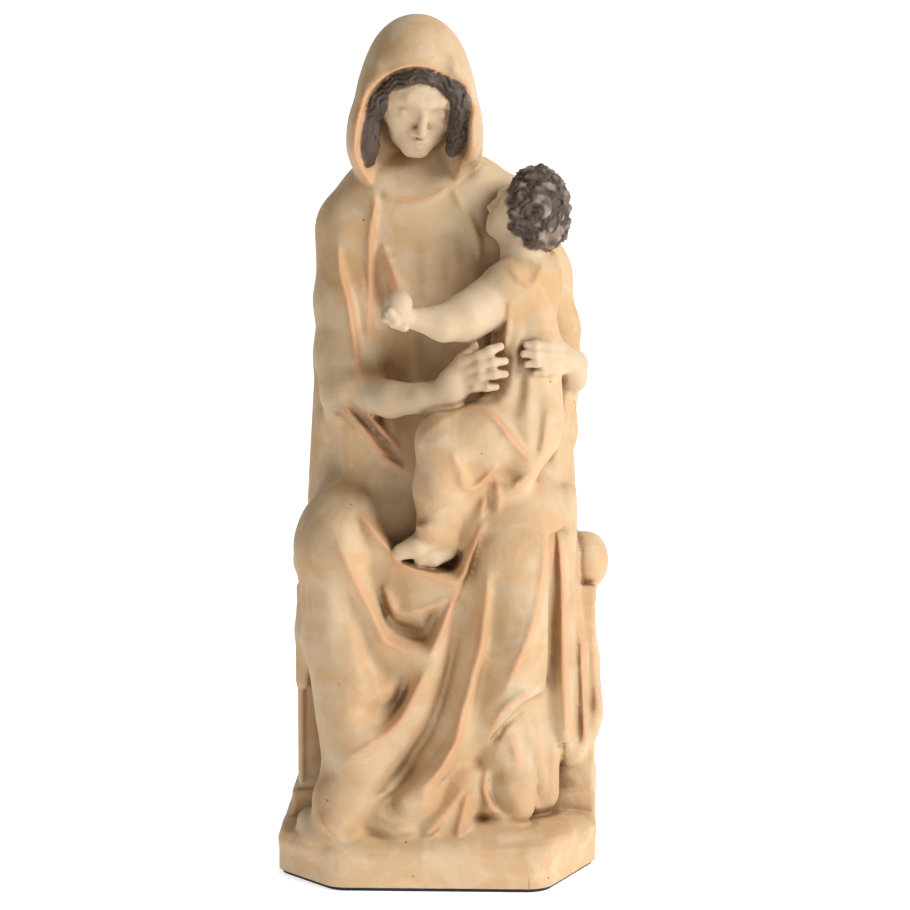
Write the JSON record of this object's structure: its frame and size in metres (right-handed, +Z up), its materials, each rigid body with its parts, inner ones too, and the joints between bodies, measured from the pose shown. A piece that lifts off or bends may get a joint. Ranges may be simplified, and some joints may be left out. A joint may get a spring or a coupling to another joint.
{
  "type": "enthroned madonna statue",
  "caption": "Cast souvenir statue of a veiled mother seated on a throne with a bolster, holding a curly-haired child with a ball, on a chamfered base with a felt pad below.",
  "frame": {"origin": "centre of the underside, in the plane of the shelf that the statue stands on", "axes": "+Z up through the crown of the veil, +X towards the viewer's right when the figure is seen from the front, -Y the way the figure faces"},
  "size_m": [0.1162, 0.0923, 0.3004],
  "materials": {
    "cast": "stone-filled casting resin with a rubbed cream and ochre patina, pale skin and taupe hair, satin-matt",
    "felt": "thin dark felt glued under the base"
  },
  "bodies": {
    "root": {"seated_mother_and_child": "cast", "felt_base_pad": "felt"}
  },
  "joints": []
}
